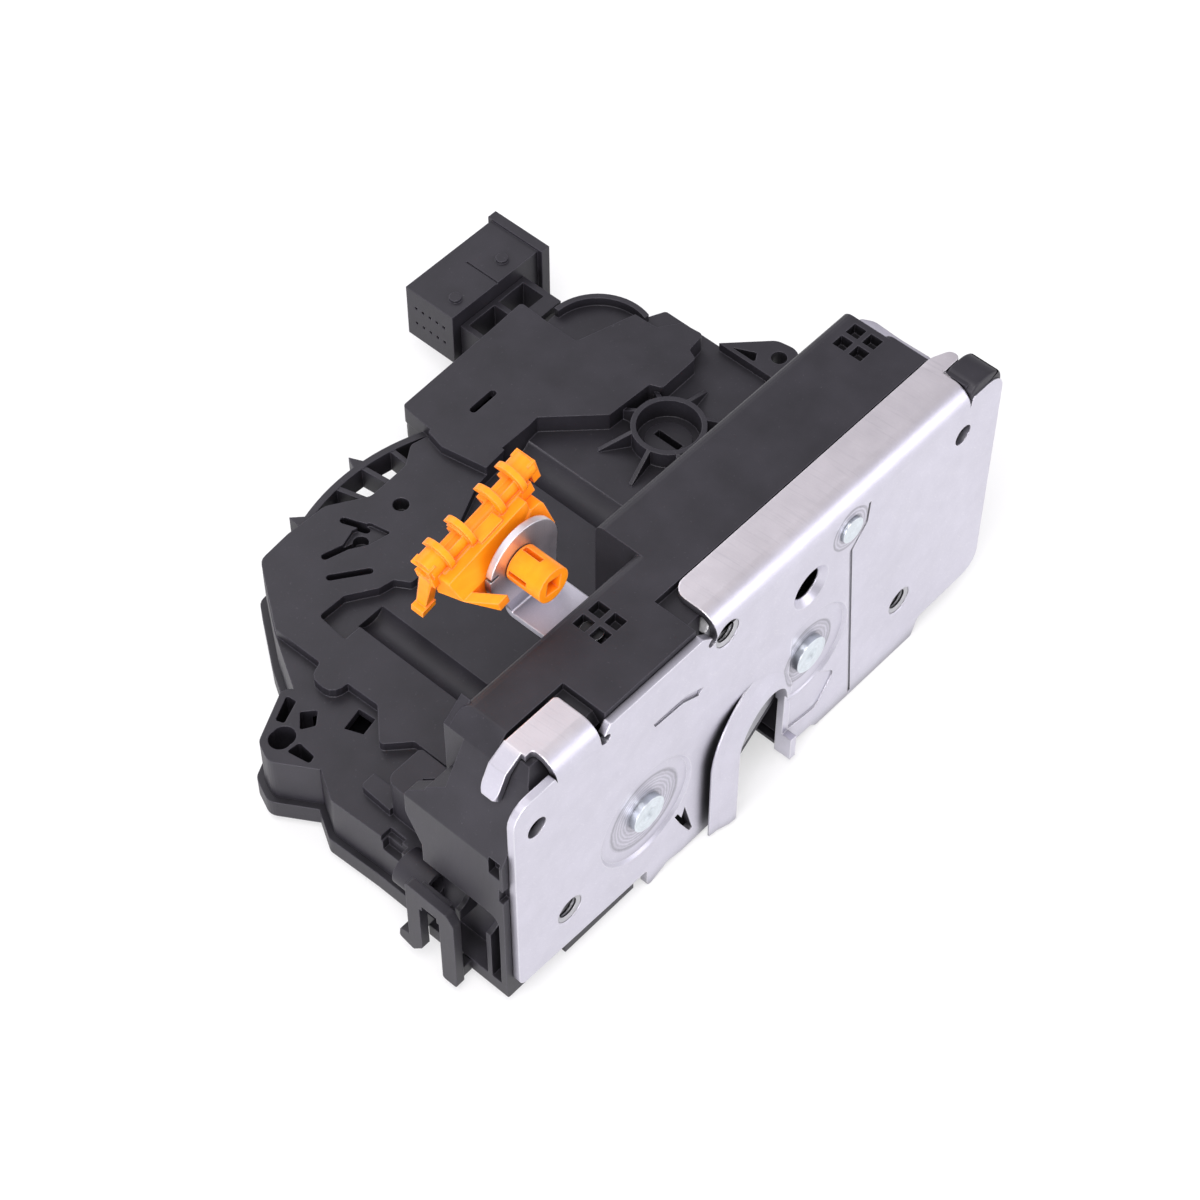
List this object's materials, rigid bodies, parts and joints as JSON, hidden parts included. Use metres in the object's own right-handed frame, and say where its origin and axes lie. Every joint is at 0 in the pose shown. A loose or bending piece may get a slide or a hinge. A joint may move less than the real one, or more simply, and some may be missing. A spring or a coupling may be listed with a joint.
{
  "type": "car door lock",
  "caption": "Side door lock for a car: steel face plate with striker mouth, catch and pawl, plastic case with lock motor, release lever with rod clip and plug socket.",
  "frame": {"origin": "axis of the middle fixing hole on the outer face of the steel plate", "axes": "+X along the plate, +Y away from its outer face into the door, +Z out of the case's upper side"},
  "size_m": [0.1663, 0.1447, 0.0977],
  "materials": {
    "plate_steel": "zinc plated pressed sheet",
    "housing_plastic": "black moulded plastic, fine grain",
    "frame_steel": "pressed sheet",
    "nut_steel": "zinc plated",
    "rivet_zinc": "bright zinc",
    "catch_steel": "hardened steel",
    "lining_plastic": "moulded lining",
    "pawl_steel": "hardened steel",
    "spring_wire": "spring wire",
    "buffer_rubber": "soft rubber",
    "case_plastic": "black moulded plastic, fine grain",
    "cover_plastic": "black moulded plastic",
    "hood_plastic": "black moulded plastic",
    "contact_brass": "tinned brass",
    "motor_can": "drawn steel can",
    "gear_plastic": "natural acetal",
    "axle_steel": "ground steel",
    "board": "coated board",
    "switch_plastic": "moulded switch",
    "coupler_plastic": "black moulded plastic",
    "lever_steel": "zinc plated sheet",
    "clip_plastic": "orange moulded plastic",
    "retainer_plastic": "black moulded plastic",
    "screw_steel": "zinc plated"
  },
  "bodies": {
    "body": {"latch_plate": "plate_steel", "latch_housing": "housing_plastic", "frame_plate": "frame_steel", "fixing_nuts": "nut_steel", "catch_rivet": "rivet_zinc", "pawl_rivet": "rivet_zinc", "plate_rivet": "rivet_zinc", "catch_spring": "spring_wire", "pawl_spring": "spring_wire", "mouth_buffer": "buffer_rubber", "actuator_case": "case_plastic", "bottom_cover": "cover_plastic", "connector_hood": "hood_plastic", "contact_pins": "contact_brass", "lock_motor": "motor_can", "wheel_axle": "axle_steel", "lock_lever_axle": "axle_steel", "lever_buffers": "buffer_rubber", "circuit_board": "board", "catch_switch": "switch_plastic", "lock_switch": "switch_plastic", "release_lever_pin": "axle_steel", "release_lever_spring": "spring_wire", "inside_lever_axle": "axle_steel", "cable_retainer": "retainer_plastic", "cover_screws": "screw_steel"},
    "catch_body": {"catch": "catch_steel", "catch_lining": "lining_plastic"},
    "pawl_body": {"pawl": "pawl_steel"},
    "release": {"release_lever": "lever_steel"},
    "clip": {"rod_clip": "clip_plastic"},
    "worm": {"motor_worm": "gear_plastic"},
    "wheel": {"worm_wheel": "gear_plastic"},
    "lock": {"lock_lever": "gear_plastic"},
    "key": {"key_coupler": "coupler_plastic"},
    "inside": {"inside_lever": "lever_steel"}
  },
  "joints": [
    {"name": "catch_turn", "type": "hinge", "parent": "body", "child": "catch_body", "pos_m": [0.0274, 0.005, -0.0337], "axis": [0, 1, 0], "range_deg": [0, 52], "stiffness_Nm_per_rad": 0.02},
    {"name": "pawl_lift", "type": "hinge", "parent": "body", "child": "pawl_body", "pos_m": [-0.0236, 0.005, -0.0367], "axis": [0, -1, 0], "range_deg": [0, 9]},
    {"name": "release_pull", "type": "hinge", "parent": "body", "child": "release", "pos_m": [-0.0207, 0.0175, 0.0023], "axis": [0, 0, -1], "range_deg": [0, 22], "stiffness_Nm_per_rad": 0.02},
    {"name": "clip_swivel", "type": "hinge", "parent": "release", "child": "clip", "pos_m": [-0.0233, 0.0345, 0.0163], "axis": [0, 1, 0], "range_deg": [-20, 20]},
    {"name": "wheel_turn", "type": "hinge", "parent": "body", "child": "wheel", "pos_m": [0.014, 0.0755, -0.0549], "axis": [0, 0, 1], "range_deg": [0, 60]},
    {"name": "worm_spin", "type": "hinge", "parent": "body", "child": "worm", "pos_m": [0.014, 0.0955, -0.0549], "axis": [1, 0, 0], "range_deg": [-1440, 1440]},
    {"name": "lock_swing", "type": "hinge", "parent": "body", "child": "lock", "pos_m": [0.03953, 0.05955, -0.0549], "axis": [0, 0, 1], "range_deg": [-20, 20]},
    {"name": "key_turn", "type": "hinge", "parent": "body", "child": "key", "pos_m": [0.0595, 0.067, -0.048], "axis": [0, 0, 1], "range_deg": [-45, 45]},
    {"name": "inside_pull", "type": "hinge", "parent": "body", "child": "inside", "pos_m": [-0.044, 0.044, -0.056], "axis": [0, 0, 1], "range_deg": [0, 25], "stiffness_Nm_per_rad": 0.01}
  ],
  "couplings": [
    {"joint": "pawl_lift", "follows": "release_pull", "ratio": 0.37},
    {"joint": "worm_spin", "follows": "wheel_turn", "ratio": 24},
    {"joint": "lock_swing", "follows": "wheel_turn", "ratio": -0.33333}
  ]
}
